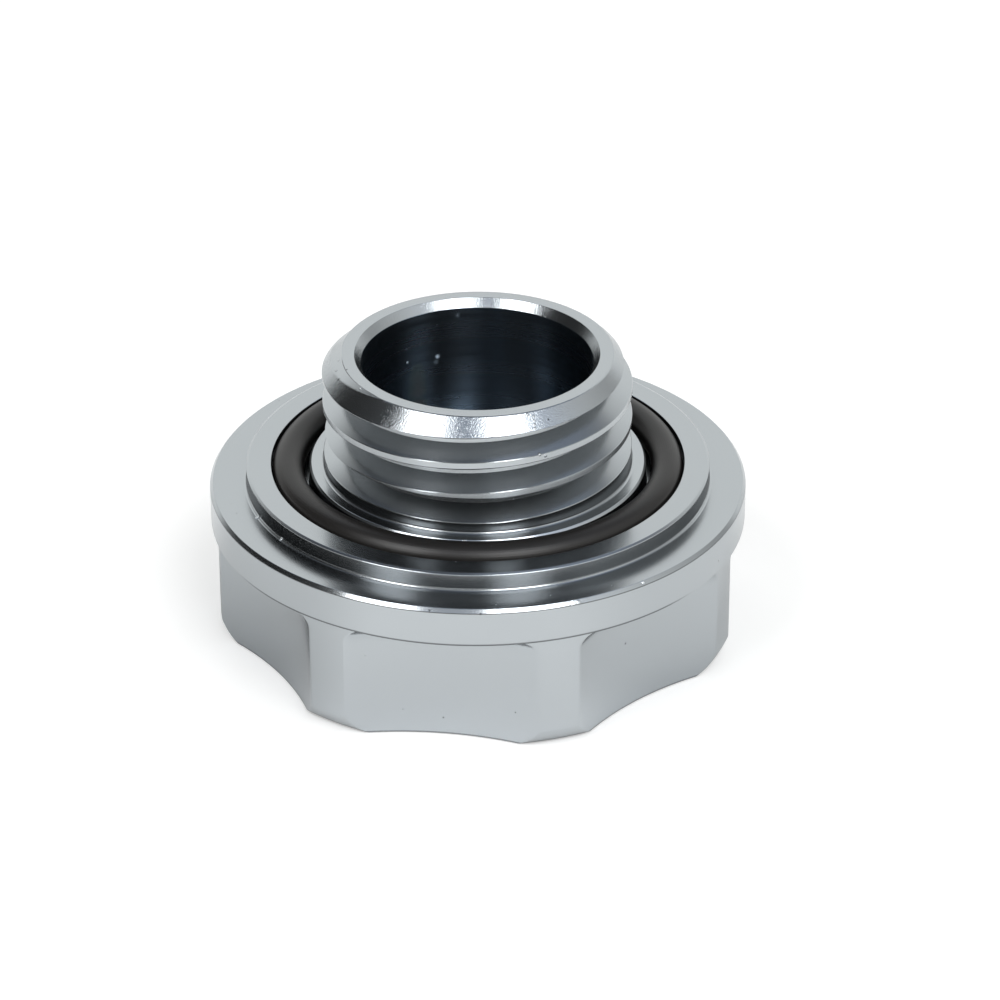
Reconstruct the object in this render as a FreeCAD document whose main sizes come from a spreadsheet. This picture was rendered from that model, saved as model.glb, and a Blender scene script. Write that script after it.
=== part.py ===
import FreeCAD, Part
import os
import PartDesign
import Sketcher
from FreeCAD import Placement, Rotation, Vector

# Oil filler cap lying upside down on its knob. Millimetres, +Z up, axis on Z.
# The knob's face is at z = 0 and the threaded spigot points up.

doc = FreeCAD.newDocument("OilFillerCap")
sheet = doc.addObject("Spreadsheet::Sheet", "Sizes")
# Driving sizes, in millimetres and degrees
size = {
    # Knob, and the round-cornered cutter that makes its scallops
    "knobRadius": 27.25,
    "knobHeight": 13.2,
    "knobRound": 2.0,
    "scallopCount": 7,
    "scallopDepth": 3.35,
    "scallopTurn": 34.6,
    "cutterRadius": 32.9,
    "cutterCorner": 2.0,
    "cutterReach": 2.0,
    # Flange and the raised ring on it
    "flangeRadius": 27.9,
    "flangeThick": 3.8,
    "flangeBreak": 0.4,
    "ringLand": 2.6,
    "ringStep": 1.95,
    "edgeBreak": 0.22,
    "footBevel": 0.2,
    # Seal groove, its inner collar and the rubber ring in it
    "grooveDepth": 2.65,
    "collarStep": 1.5,
    "sealSection": 3.0,
    "sealFlats": 12,
    "sealInnerGap": 0.65,
    "sealOuterGap": 0.35,
    "sealUnderGap": 0.1,
    # Thread on the spigot, and the way its tool comes in at the foot
    "threadRadius": 16.0,
    "threadPitch": 3.5,
    "threadDepth": 2.1,
    "flankAngle": 30.0,
    "crestWidth": 0.69,
    "threadRise": 2.61,
    "threadTurn": -82.0,
    "dwellTurn": 150.0,
    "runoutTurn": 60.0,
    "runoutShift": 5.5,
    "toolOver": 0.5,
    "toolLeave": 1.11,
    # Spigot end and blind hollow
    "spigotRise": 12.35,
    "rimBevel": 1.95,
    "spigotWall": 4.05,
    "boreLead": 0.9,
    "boreFlare": 0.7,
    "boreBevel": 0.7,
    "floorThick": 15.0,
}
for line, alias in enumerate(size, 1):
    sheet.set("A%d" % line, alias)
    sheet.set("B%d" % line, str(size[alias]))
    sheet.setAlias("B%d" % line, alias)
doc.recompute()

# Distances from the axis, and heights, that follow from the sizes
collar_radius = "(Sizes.threadRadius + Sizes.collarStep)"
seal_middle = "(%s + Sizes.sealInnerGap + Sizes.sealSection / 2)" % collar_radius
groove_radius = "(%s + Sizes.sealSection / 2 + Sizes.sealOuterGap)" % seal_middle
ring_radius = "(%s + Sizes.ringLand)" % groove_radius
bore_radius = "(Sizes.threadRadius - Sizes.spigotWall)"
flange_top = "(Sizes.knobHeight + Sizes.flangeThick)"
ring_top = "(Sizes.knobHeight + Sizes.flangeThick + Sizes.ringStep)"
rim_top = "(%s + Sizes.spigotRise)" % ring_top
groove_floor = "(%s - Sizes.grooveDepth)" % ring_top
thread_foot = "(%s + Sizes.threadRise)" % ring_top
scallop_floor = "(Sizes.knobRadius - Sizes.scallopDepth)"


def worth(formula):
    # what a formula comes to with the sizes now in the sheet
    return float(sheet.evalExpression(formula))


def plane_of(body, role):
    return next(f for f in body.Origin.OriginFeatures if f.Role == role)


def new_sketch(body, name, turn=None):
    sketch = body.newObject("Sketcher::SketchObject", name)
    sketch.AttachmentSupport = [(plane_of(body, "XZ_Plane"), "")]
    sketch.MapMode = "FlatFace"
    if turn is not None:
        # turned about Z, which is the upright axis of this plane
        upright = Vector(0, 1, 0)
        sketch.AttachmentOffset = Placement(Vector(0, 0, 0), Rotation(upright, worth(turn)))
        sketch.setExpression("AttachmentOffset.Rotation.Angle", turn)
    return sketch


def pin(sketch, corner, across, up, label):
    # ties the start of one line to its distance from the axis and its height
    for kind, formula, axis in (("DistanceX", across, -2), ("DistanceY", up, -1)):
        if formula == "0":
            sketch.addConstraint(Sketcher.Constraint("PointOnObject", corner, 1, axis))
            continue
        name = label + kind[-1]
        n = sketch.addConstraint(Sketcher.Constraint(kind, -1, 1, corner, 1, worth(formula)))
        sketch.renameConstraint(n, name)
        sketch.setExpression("Constraints." + name, formula)


def outline(sketch, corners):
    # a closed outline of straight lines through the named corners
    places = [Vector(worth(across), worth(up), 0) for label, across, up in corners]
    count = len(corners)
    for i in range(count):
        sketch.addGeometry(Part.LineSegment(places[i], places[(i + 1) % count]), False)
    for i in range(count):
        sketch.addConstraint(Sketcher.Constraint("Coincident", i, 2, (i + 1) % count, 1))
    for i, (label, across, up) in enumerate(corners):
        pin(sketch, i, across, up, label)


def spin(body, kind, name, sketch, axis, angle, reversed_turn=False):
    # revolves a sketch about one of its lines, to add a solid or to cut a groove
    feature = body.newObject(kind, name)
    feature.Profile = sketch
    feature.ReferenceAxis = (sketch, [axis])
    feature.Reversed = reversed_turn
    feature.Angle = worth(angle)
    feature.setExpression("Angle", angle)
    doc.recompute()
    return feature


def ring_edge(feature, radius, height):
    # the name of the round edge about Z with this radius and height
    for n, edge in enumerate(feature.Shape.Edges, 1):
        curve = edge.Curve
        if not isinstance(curve, Part.Circle):
            continue
        if abs(curve.Radius - radius) < 1e-4 and abs(curve.Center.z - height) < 1e-4:
            return "Edge%d" % n
    raise RuntimeError("no edge of radius %g at height %g" % (radius, height))


# One turned piece: knob, flange, raised ring, seal groove, collar and bored spigot
cap = doc.addObject("PartDesign::Body", "CapBody")
cap.Label = "cap_body"

section = new_sketch(cap, "TurnedSection")
outline(section, [
    ("face", "0", "0"),
    ("knobFoot", "Sizes.knobRadius", "0"),
    ("knobHead", "Sizes.knobRadius", "Sizes.knobHeight"),
    ("flangeUnder", "Sizes.flangeRadius", "Sizes.knobHeight"),
    ("flangeSide", "Sizes.flangeRadius", flange_top + " - Sizes.flangeBreak"),
    ("flangeEdge", "Sizes.flangeRadius - Sizes.flangeBreak", flange_top),
    ("ringFoot", ring_radius + " + Sizes.footBevel", flange_top),
    ("ringRise", ring_radius, flange_top + " + Sizes.footBevel"),
    ("ringSide", ring_radius, ring_top + " - Sizes.edgeBreak"),
    ("ringEdge", ring_radius + " - Sizes.edgeBreak", ring_top),
    ("grooveMouth", groove_radius, ring_top),
    ("grooveOuter", groove_radius, groove_floor),
    ("grooveInner", collar_radius, groove_floor),
    ("collarSide", collar_radius, ring_top + " - Sizes.edgeBreak"),
    ("collarEdge", collar_radius + " - Sizes.edgeBreak", ring_top),
    ("neckFoot", "Sizes.threadRadius + Sizes.footBevel", ring_top),
    ("neckRise", "Sizes.threadRadius", ring_top + " + Sizes.footBevel"),
    ("neckHead", "Sizes.threadRadius", rim_top + " - Sizes.rimBevel"),
    ("rimOuter", "Sizes.threadRadius - Sizes.rimBevel", rim_top),
    ("rimInner", bore_radius + " + Sizes.boreFlare", rim_top),
    ("boreMouth", bore_radius, rim_top + " - Sizes.boreLead"),
    ("boreFoot", bore_radius, "Sizes.floorThick + Sizes.boreBevel"),
    ("boreToe", bore_radius + " - Sizes.boreBevel", "Sizes.floorThick"),
    ("boreCentre", "0", "Sizes.floorThick"),
])
blank = spin(cap, "PartDesign::Revolution", "TurnedBlank", section, "V_Axis", "360")

knob_round = cap.newObject("PartDesign::Fillet", "KnobRound")
knob_round.Base = (blank, [ring_edge(blank, size["knobRadius"], 0)])
knob_round.Radius = size["knobRound"]
knob_round.setExpression("Radius", "Sizes.knobRound")
doc.recompute()

# Scallops: a wide cutter with a rounded corner passes upright through the knob, up to the flange.
# Three flats stand for the round of its corner.
cutter_axis = scallop_floor + " + Sizes.cutterRadius"
steps = 3
corners = [("reach", scallop_floor, "0 - Sizes.cutterReach")]
for k in range(steps + 1):
    angle = "90 * %d / %d" % (k, steps)
    corners.append((
        "corner%d" % k,
        "%s + Sizes.cutterCorner * (1 - cos(%s))" % (scallop_floor, angle),
        "Sizes.knobHeight - Sizes.cutterCorner * (1 - sin(%s))" % angle,
    ))
corners.append(("axisHead", cutter_axis, "Sizes.knobHeight"))
corners.append(("axisFoot", cutter_axis, "0 - Sizes.cutterReach"))
cutter = new_sketch(cap, "ScallopCutter", "Sizes.scallopTurn")
outline(cutter, corners)
axis_line = "Edge%d" % (len(corners) - 1)
scallop = spin(cap, "PartDesign::Groove", "Scallop", cutter, axis_line, "360")

scallops = cap.newObject("PartDesign::PolarPattern", "Scallops")
scallops.Originals = [scallop]
scallops.Axis = (plane_of(cap, "Z_Axis"), [""])
scallops.Angle = 360.0
scallops.Occurrences = int(size["scallopCount"])
scallops.setExpression("Occurrences", "Sizes.scallopCount")
cap.Tip = scallops
doc.recompute()

# Thread: a blunt-nosed tool cuts the spigot along a right-hand helix
gap_width = "(Sizes.threadPitch - Sizes.crestWidth)"
half_root = "(%s / 2 - Sizes.threadDepth * tan(Sizes.flankAngle))" % gap_width
half_out = "(%s / 2 + Sizes.toolOver * tan(Sizes.flankAngle))" % gap_width


def tool_section(name, turn=None, shift="0"):
    sketch = new_sketch(cap, name, turn)
    root = "Sizes.threadRadius - Sizes.threadDepth + " + shift
    out = "Sizes.threadRadius + Sizes.toolOver + " + shift
    outline(sketch, [
        ("rootLow", root, "%s - %s" % (thread_foot, half_root)),
        ("outLow", out, "%s - %s" % (thread_foot, half_out)),
        ("outHigh", out, "%s + %s" % (thread_foot, half_out)),
        ("rootHigh", root, "%s + %s" % (thread_foot, half_root)),
    ])
    return sketch


tool = tool_section("ThreadTool")
turns = "(Sizes.spigotRise - Sizes.threadRise + Sizes.toolLeave) / Sizes.threadPitch"
thread = cap.newObject("PartDesign::SubtractiveHelix", "Thread")
thread.Profile = tool
thread.ReferenceAxis = (tool, ["V_Axis"])
thread.Mode = 1
thread.Pitch = size["threadPitch"]
thread.Turns = worth(turns)
thread.setExpression("Pitch", "Sizes.threadPitch")
thread.setExpression("Turns", turns)
thread.Angle = 0
thread.Growth = 0
thread.LeftHanded = False
thread.Reversed = False
doc.recompute()

# Below the first turn the tool stays level for part of a turn
level_tool = tool_section("LevelTool")
level = spin(cap, "PartDesign::Groove", "ThreadDwell", level_tool, "V_Axis", "Sizes.dwellTurn", True)

# Then it backs out of the metal, on a wider circle that touches the level one where that ends
backing_tool = tool_section("BackingTool", "0 - Sizes.dwellTurn", "Sizes.runoutShift")
offset = backing_tool.AttachmentOffset
back_x = "0 - Sizes.runoutShift * cos(Sizes.dwellTurn)"
back_y = "0 - Sizes.runoutShift * sin(Sizes.dwellTurn)"
offset.Base = Vector(worth(back_x), 0, worth(back_y))
backing_tool.AttachmentOffset = offset
backing_tool.setExpression("AttachmentOffset.Base.x", back_x)
backing_tool.setExpression("AttachmentOffset.Base.z", back_y)
runout = spin(cap, "PartDesign::Groove", "ThreadRunout", backing_tool, "V_Axis", "Sizes.runoutTurn", True)

cap.Tip = runout
cap.Placement = Placement(Vector(0, 0, 0), Rotation(Vector(0, 0, 1), size["threadTurn"]))
cap.setExpression("Placement.Rotation.Angle", "Sizes.threadTurn")

# The rubber ring lies in its groove, just clear of the floor, and stands proud of the raised ring.
# Its round section has many small flats.
seal = doc.addObject("PartDesign::Body", "SealRing")
seal.Label = "o_ring"
seal_height = "%s + Sizes.sealUnderGap + Sizes.sealSection / 2" % groove_floor
reach = "Sizes.sealSection / 2 / cos(180 / Sizes.sealFlats)"
corners = []
for k in range(size["sealFlats"]):
    angle = "(%d + 0.5) * 360 / Sizes.sealFlats" % k
    across = "%s + %s * cos(%s)" % (seal_middle, reach, angle)
    up = "%s + %s * sin(%s)" % (seal_height, reach, angle)
    corners.append(("flat%d" % k, across, up))
seal_section = new_sketch(seal, "SealSection")
outline(seal_section, corners)
spin(seal, "PartDesign::Revolution", "RubberRing", seal_section, "V_Axis", "360")
doc.recompute()

for item in doc.Objects:
    if "Invalid" in item.State or "Error" in item.State:
        raise RuntimeError("%s did not compute: %s" % (item.Name, item.State))
made = [knob_round, scallop, scallops, thread, level, runout]
for earlier, later in zip(made, made[1:]):
    if later.Shape.Volume >= earlier.Shape.Volume:
        raise RuntimeError("%s takes no metal away" % later.Name)

os.makedirs("parts", exist_ok=True)
for piece in (cap, seal):
    shape = piece.Shape
    if shape.isNull() or not shape.isValid() or len(shape.Solids) != 1:
        raise RuntimeError("%s is not one sound solid" % piece.Label)
    shape.exportStep("parts/%s.step" % piece.Label)
    print(piece.Label, "volume", round(shape.Volume, 1), "mm3, faces", len(shape.Faces))
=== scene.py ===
# Oil filler cap lying upside down on its scalloped knob, with its rubber ring.
import math

import bpy
from mathutils import Matrix, Quaternion, Vector


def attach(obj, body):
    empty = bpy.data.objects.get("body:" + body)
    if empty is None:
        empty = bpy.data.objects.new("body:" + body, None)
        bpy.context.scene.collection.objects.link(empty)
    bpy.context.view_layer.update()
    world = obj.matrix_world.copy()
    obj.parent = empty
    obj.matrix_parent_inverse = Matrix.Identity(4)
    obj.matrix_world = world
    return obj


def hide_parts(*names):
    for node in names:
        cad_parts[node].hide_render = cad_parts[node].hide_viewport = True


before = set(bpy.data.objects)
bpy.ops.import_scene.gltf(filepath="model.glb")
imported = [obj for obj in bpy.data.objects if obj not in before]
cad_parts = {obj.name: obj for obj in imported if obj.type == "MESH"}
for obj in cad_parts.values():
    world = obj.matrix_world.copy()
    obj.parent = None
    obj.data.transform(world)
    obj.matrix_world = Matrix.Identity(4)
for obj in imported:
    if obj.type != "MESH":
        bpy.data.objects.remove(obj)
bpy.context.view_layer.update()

mm = 0.001
scene = bpy.context.scene
columns = 504  # steps round the axis, the same in every band, so that bands meet point to point


# small tools for node trees

def addNode(tree, kind, **settings):
    item = tree.nodes.new(kind)
    for name, value in settings.items():
        setattr(item, name, value)
    return item


def feed(tree, socket, value):
    # value is a plain one, a socket or a Num
    if isinstance(value, Num):
        value = value.socket
    if isinstance(value, bpy.types.NodeSocket):
        tree.links.new(value, socket)
    else:
        socket.default_value = value


class Num:
    # a number in a node tree that can be added, multiplied and so on
    def __init__(self, tree, socket):
        self.tree = tree
        self.socket = socket

    def calc(self, operation, *others, turned=False):
        item = addNode(self.tree, "ShaderNodeMath", operation=operation)
        values = [self, *others]
        if turned:
            values.reverse()
        for slot, value in zip(item.inputs, values):
            feed(self.tree, slot, value)
        return Num(self.tree, item.outputs[0])

    def __add__(self, other):
        return self.calc("ADD", other)

    __radd__ = __add__

    def __sub__(self, other):
        return self.calc("SUBTRACT", other)

    def __rsub__(self, other):
        return self.calc("SUBTRACT", other, turned=True)

    def __mul__(self, other):
        return self.calc("MULTIPLY", other)

    __rmul__ = __mul__

    def __truediv__(self, other):
        return self.calc("DIVIDE", other)

    def __rtruediv__(self, other):
        return self.calc("DIVIDE", other, turned=True)

    def __neg__(self):
        return self * -1.0

    def sin(self):
        return self.calc("SINE")

    def cos(self):
        return self.calc("COSINE")

    def root(self):
        return self.calc("SQRT")

    def size(self):
        return self.calc("ABSOLUTE")

    def floor(self):
        return self.calc("FLOOR")

    def under(self, other):
        return self.calc("LESS_THAN", other)

    def atMost(self, other):
        return self.calc("MINIMUM", other)

    def atLeast(self, other):
        return self.calc("MAXIMUM", other)


def pick(test, ifTrue, ifFalse):
    # ifTrue where test is 1, ifFalse where it is 0
    return test * ifTrue + (1.0 - test) * ifFalse


def newTree(name, inputs):
    # a geometry tree with named inputs; gives the tree, the values of its inputs and its output socket
    tree = bpy.data.node_groups.new(name, "GeometryNodeTree")
    tree.interface.new_socket("Geometry", in_out="INPUT", socket_type="NodeSocketGeometry")
    tree.interface.new_socket("Geometry", in_out="OUTPUT", socket_type="NodeSocketGeometry")
    for label, (kind, value) in inputs.items():
        socket = tree.interface.new_socket(label, in_out="INPUT", socket_type=kind)
        if value is not None:
            socket.default_value = value
    enter = addNode(tree, "NodeGroupInput")
    leave = addNode(tree, "NodeGroupOutput")
    values = {}
    for label, (kind, value) in inputs.items():
        socket = enter.outputs[label]
        values[label] = Num(tree, socket) if kind == "NodeSocketFloat" else socket
    return tree, values, leave.inputs["Geometry"]


def gridOf(tree, rows):
    # a grid of columns + 1 by rows points, with the column and row of each point
    grid = addNode(tree, "GeometryNodeMeshGrid")
    grid.inputs["Vertices X"].default_value = columns + 1
    grid.inputs["Vertices Y"].default_value = rows
    index = Num(tree, addNode(tree, "GeometryNodeInputIndex").outputs[0])
    column = ((index + 0.5) / float(rows)).floor()
    row = index - column * float(rows)
    return grid.outputs["Mesh"], column, row


def place(tree, mesh, x, y, z):
    # moves each point of a grid to its own place
    spot = addNode(tree, "ShaderNodeCombineXYZ")
    for slot, value in zip(spot.inputs, (x, y, z)):
        feed(tree, slot, value)
    move = addNode(tree, "GeometryNodeSetPosition")
    feed(tree, move.inputs["Geometry"], mesh)
    feed(tree, move.inputs["Position"], spot.outputs[0])
    return move.outputs["Geometry"]


def choose(tree, row, values):
    # the value whose place in the list is the row
    switch = addNode(tree, "GeometryNodeIndexSwitch", data_type="FLOAT")
    while len(switch.index_switch_items) < len(values):
        switch.index_switch_items.new()
    whole = addNode(tree, "FunctionNodeFloatToInt", rounding_mode="ROUND")
    feed(tree, whole.inputs[0], row)
    feed(tree, switch.inputs[0], whole.outputs[0])
    for slot, value in zip(list(switch.inputs)[1:], values):
        feed(tree, slot, value)
    return Num(tree, switch.outputs[0])


def finishTree(tree, out, parts, material, mergeGap, sharpAngle):
    # joins the bands, welds them, leaves their sharp edges sharp and gives the material
    join = addNode(tree, "GeometryNodeJoinGeometry")
    for part in reversed(parts):
        tree.links.new(part, join.inputs[0])
    weld = addNode(tree, "GeometryNodeMergeByDistance")
    tree.links.new(join.outputs[0], weld.inputs["Geometry"])
    feed(tree, weld.inputs["Distance"], mergeGap)
    angle = addNode(tree, "GeometryNodeInputMeshEdgeAngle")
    over = Num(tree, angle.outputs["Unsigned Angle"]).under(sharpAngle)
    smooth = addNode(tree, "GeometryNodeSetShadeSmooth", domain="EDGE")
    tree.links.new(weld.outputs[0], smooth.inputs["Geometry"])
    feed(tree, smooth.inputs["Shade Smooth"], over)
    real = addNode(tree, "GeometryNodeRealizeInstances")
    tree.links.new(smooth.outputs[0], real.inputs[0])
    paint = addNode(tree, "GeometryNodeSetMaterial")
    tree.links.new(real.outputs[0], paint.inputs["Geometry"])
    feed(tree, paint.inputs["Material"], material)
    tree.links.new(paint.outputs[0], out)


def setInput(modifier, label, value):
    # a modifier's input is found by its name and set by its identifier
    for item in modifier.node_group.interface.items_tree:
        if item.item_type == "SOCKET" and item.in_out == "INPUT" and item.name == label:
            modifier[item.identifier] = value
            return
    raise KeyError(label)


def plainMesh(name, carrier):
    # the evaluated carrier as a mesh object of its own, with no modifier left
    graph = bpy.context.evaluated_depsgraph_get()
    mesh = bpy.data.meshes.new_from_object(carrier.evaluated_get(graph))
    mesh.name = name
    piece = bpy.data.objects.new(name, mesh)
    scene.collection.objects.link(piece)
    bpy.data.objects.remove(carrier)
    return piece


def growPiece(name, tree, inputs):
    # evaluates a geometry tree with its inputs set, and gives its result as a plain mesh
    carrier = bpy.data.objects.new(name + "Carrier", bpy.data.meshes.new(name + "Carrier"))
    scene.collection.objects.link(carrier)
    modifier = carrier.modifiers.new(name, "NODES")
    modifier.node_group = tree
    for label in inputs:
        setInput(modifier, label, inputs[label][1])
    return plainMesh(name, carrier)


# outlines of turned shapes, with rounded corners

def arcPoints(before, corner, after, radius, steps, support):
    # points of the round at a corner, with one more just before and after it so that flats stay flat
    a, b = (before - corner).normalized(), (after - corner).normalized()
    half = math.acos(max(-1, min(1, a.dot(b)))) / 2
    reach = radius / math.tan(half)
    centre = corner + (a + b).normalized() * (radius / math.sin(half))
    start, end = corner + a * reach - centre, corner + b * reach - centre
    sweep = start.angle_signed(end)
    points = [centre + start + a * support]
    for k in range(steps + 1):
        points.append(centre + Matrix.Rotation(-sweep * k / steps, 2) @ start)
    points.append(centre + end + b * support)
    return points


def roundedOutline(corners):
    # corners are (distance from the axis, height, round, steps), in millimetres
    supportShare = 0.15  # how far the extra points lie from a round, as a share of its radius
    spots = [Vector(corner[:2]) for corner in corners]
    points = [spots[0]]
    for k in range(1, len(corners) - 1):
        radius, steps = corners[k][2:]
        if radius:
            support = radius * supportShare
            points += arcPoints(*spots[k - 1:k + 2], radius, steps, support)
        else:
            points.append(spots[k])
    points.append(spots[-1])
    return points


def outlineObject(name, corners):
    # a helper object that carries the outline's points, and how many they are
    points = roundedOutline(corners)
    mesh = bpy.data.meshes.new(name)
    edges = [(k, k + 1) for k in range(len(points) - 1)]
    mesh.from_pydata([(p.x * mm, 0, p.y * mm) for p in points], edges, [])
    item = bpy.data.objects.new(name, mesh)
    scene.collection.objects.link(item)
    return item, len(points)


def turnBand(tree, outline, count):
    # turns an outline about the axis
    mesh, column, row = gridOf(tree, count)
    info = addNode(tree, "GeometryNodeObjectInfo")
    info.inputs["Object"].default_value = outline
    where = addNode(tree, "GeometryNodeInputPosition")
    sample = addNode(tree, "GeometryNodeSampleIndex", data_type="FLOAT_VECTOR", domain="POINT")
    tree.links.new(info.outputs["Geometry"], sample.inputs["Geometry"])
    tree.links.new(where.outputs[0], sample.inputs["Value"])
    whole = addNode(tree, "FunctionNodeFloatToInt", rounding_mode="ROUND")
    feed(tree, whole.inputs[0], row)
    tree.links.new(whole.outputs[0], sample.inputs["Index"])
    split = addNode(tree, "ShaderNodeSeparateXYZ")
    tree.links.new(sample.outputs[0], split.inputs[0])
    reach, height = Num(tree, split.outputs[0]), Num(tree, split.outputs[2])
    turn = column * (2 * math.pi / columns) + turnStart
    return place(tree, mesh, reach * turn.cos(), reach * turn.sin(), height)


# sizes of the cap body, in millimetres and degrees
cap = {
    "knobRadius": 27.25,
    "knobRound": 2.0,  # height of the round at the knob's foot
    "footWide": 1.38,  # how far that round reaches in
    "footFlat": 0.6,  # how far the knob's round is flattened to a bevel
    "knobHeight": 12.87,
    "scallops": 7,
    "scallopTurn": -47.0,  # where one scallop's middle lies, from +X
    "cutterRadius": 32.9,
    "cutterOffset": 56.8,
    "cutterCorner": 2.0,  # the round that the cutter leaves under the flange
    "footBreak": 0.14,  # edge break where a scallop meets the face
    "lobeBreak": 0.16,  # edge break where a scallop meets a lobe
    "flangeRadius": 27.9,
    "flangeTop": 17.0,
    "flangeBevel": (0.31, 0.38),  # its upper edge, in and down
    "undersideEnd": 0.3,  # how far inside the flange's edge its underside ends
    "ringRadius": 24.1,
    "ringTop": 18.95,
    "ringBevel": (0.26, 0.15),
    "grooveRadius": 21.5,
    "grooveFloor": 16.3,
    "collarRadius": 17.5,
    "collarBevel": (0.22, 0.22),
    "neckHeight": 0.8,  # where the plain neck ends, above the ring
    "threadRadius": 16.0,
    "threadPitch": 3.5,
    "threadDepth": 2.1,
    "flankAngle": 30.0,
    "crestWidth": 0.69,
    "crestBreak": 0.05,
    "threadFoot": 21.56,  # height of the level pass
    "threadStart": -82.0,  # where the helix starts, from +X
    "dwell": 150.0,  # how far round the level pass reaches back from there
    "backing": 5.5,  # how far its centre lies from the axis, so that it runs out of the metal
    "rimTop": 31.3,
    "rimRadius": 14.05,
    "rimBreak": 0.06,
    "rimLand": 0.35,  # width of the rim's outer part, which is made with the thread
    "rimInner": 12.65,
    "boreRadius": 11.95,
    "boreLead": 0.9,
    "boreFloor": 15.0,
    "weld": 0.002,
    "sharpAngle": 20.0,
}
turnStart = math.radians(cap["threadStart"])  # every band starts at the azimuth where the helix starts
neckTop = cap["ringTop"] + cap["neckHeight"]
rimInside = cap["rimRadius"] - cap["rimLand"]


def knobBands(tree, size):
    # the knob: a face, a rounded foot, scalloped walls, and the flange's underside
    perScallop = columns // cap["scallops"]
    halfScallop = perScallop // 2
    wallSteps = 27  # columns from a scallop's middle to its edge
    axisAway = size["Cutter offset"]
    # the column nearest to a scallop's middle
    firstScallop = round((cap["scallopTurn"] - cap["threadStart"]) / 360 * columns)

    def knobOutline(column, reach, cutter):
        # the point of the knob's outline in this column, for a turned radius and a cutter radius
        shifted = column - firstScallop
        sector = ((shifted + halfScallop) / float(perScallop)).floor()
        local = shifted - sector * float(perScallop)
        away = local.size()
        side = 1.0 - 2.0 * local.under(0.0)
        meet = (reach * reach + axisAway * axisAway - cutter * cutter) / (2.0 * reach * axisAway)
        edge = meet.calc("ARCCOSINE")
        lobeEnd = math.pi / cap["scallops"]
        cutEdge = (reach * edge.sin() / cutter).calc("ARCSINE")
        broken = size["Lobe break"]
        swing = (cutEdge - broken / cutter) * (away / wallSteps).atMost(1.0)
        scallopX, scallopY = axisAway - cutter * swing.cos(), cutter * swing.sin()
        lobeStart = edge + broken / reach
        share = (away - (wallSteps + 2.0)).atLeast(0.0) / float(halfScallop - wallSteps - 2)
        lobeAngle = lobeStart + (lobeEnd - lobeStart) * share
        lobeX, lobeY = reach * lobeAngle.cos(), reach * lobeAngle.sin()
        endSwing = cutEdge - broken / cutter
        # the one point between scallop and lobe lies a little nearer to the sharp edge
        sharpX, sharpY = reach * edge.cos(), reach * edge.sin()
        middleX = (axisAway - cutter * endSwing.cos() + reach * lobeStart.cos()) * 0.3 + sharpX * 0.4
        middleY = (cutter * endSwing.sin() + reach * lobeStart.sin()) * 0.3 + sharpY * 0.4
        onScallop = away.under(wallSteps + 0.5)
        onLobe = 1.0 - away.under(wallSteps + 1.5)
        between = 1.0 - onScallop - onLobe
        x = onScallop * scallopX + onLobe * lobeX + between * middleX
        y = (onScallop * scallopY + onLobe * lobeY + between * middleY) * side
        turn = sector * (2 * math.pi / cap["scallops"]) + math.radians(cap["scallopTurn"])
        return x * turn.cos() - y * turn.sin(), x * turn.sin() + y * turn.cos()

    radius, rounding, height = size["Knob radius"], size["Knob round"], size["Knob height"]
    wide = size["Foot width"]
    cutter, corner, footBreak = size["Cutter radius"], size["Cutter corner"], size["Foot break"]
    bands = []

    # flat face: rings that shrink to the middle
    rings = 5
    mesh, column, row = gridOf(tree, rings)
    x, y = knobOutline(column, radius - wide, cutter + footBreak)
    share = row / float(rings - 1)
    bands.append(place(tree, mesh, x * share, y * share, 0.0))

    # rounded foot, with a small break where a scallop meets the face
    steps = 14
    mesh, column, row = gridOf(tree, steps + 1)
    bend = row * (math.pi / 2 / steps)
    straight, flat = row / float(steps), size["Foot flat"]
    up = rounding * pick(flat, straight, 1.0 - bend.cos())
    low = (footBreak - up).atLeast(0.0)
    flare = footBreak - (footBreak * footBreak - low * low).root()
    x, y = knobOutline(column, radius - wide + wide * pick(flat, straight, bend.sin()), cutter + flare)
    bands.append(place(tree, mesh, x, y, up))

    # wall between the foot and the corner that the cutter leaves, with a ring near each end
    mesh, column, row = gridOf(tree, 6)
    wall = height - corner - rounding
    share = choose(tree, row, [0.0, 0.02, 0.35, 0.65, 0.98, 1.0])
    x, y = knobOutline(column, radius, cutter)
    bands.append(place(tree, mesh, x, y, rounding + wall * share))

    # the cutter's round corner under the flange
    steps = 12
    mesh, column, row = gridOf(tree, steps + 1)
    bend = row * (math.pi / 2 / steps)
    x, y = knobOutline(column, radius, cutter - corner * (1.0 - bend.cos()))
    bands.append(place(tree, mesh, x, y, height - corner + corner * bend.sin()))

    # the flange's underside, from the knob's outline out to an even ring
    mesh, column, row = gridOf(tree, 4)
    share = choose(tree, row, [0.0, 0.1, 0.9, 1.0])
    x, y = knobOutline(column, radius, cutter - corner)
    turn = column * (2 * math.pi / columns) + turnStart
    outer = (cap["flangeRadius"] - cap["undersideEnd"]) * mm
    x = x + (turn.cos() * outer - x) * share
    y = y + (turn.sin() * outer - y) * share
    bands.append(place(tree, mesh, x, y, height))
    return bands


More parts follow.
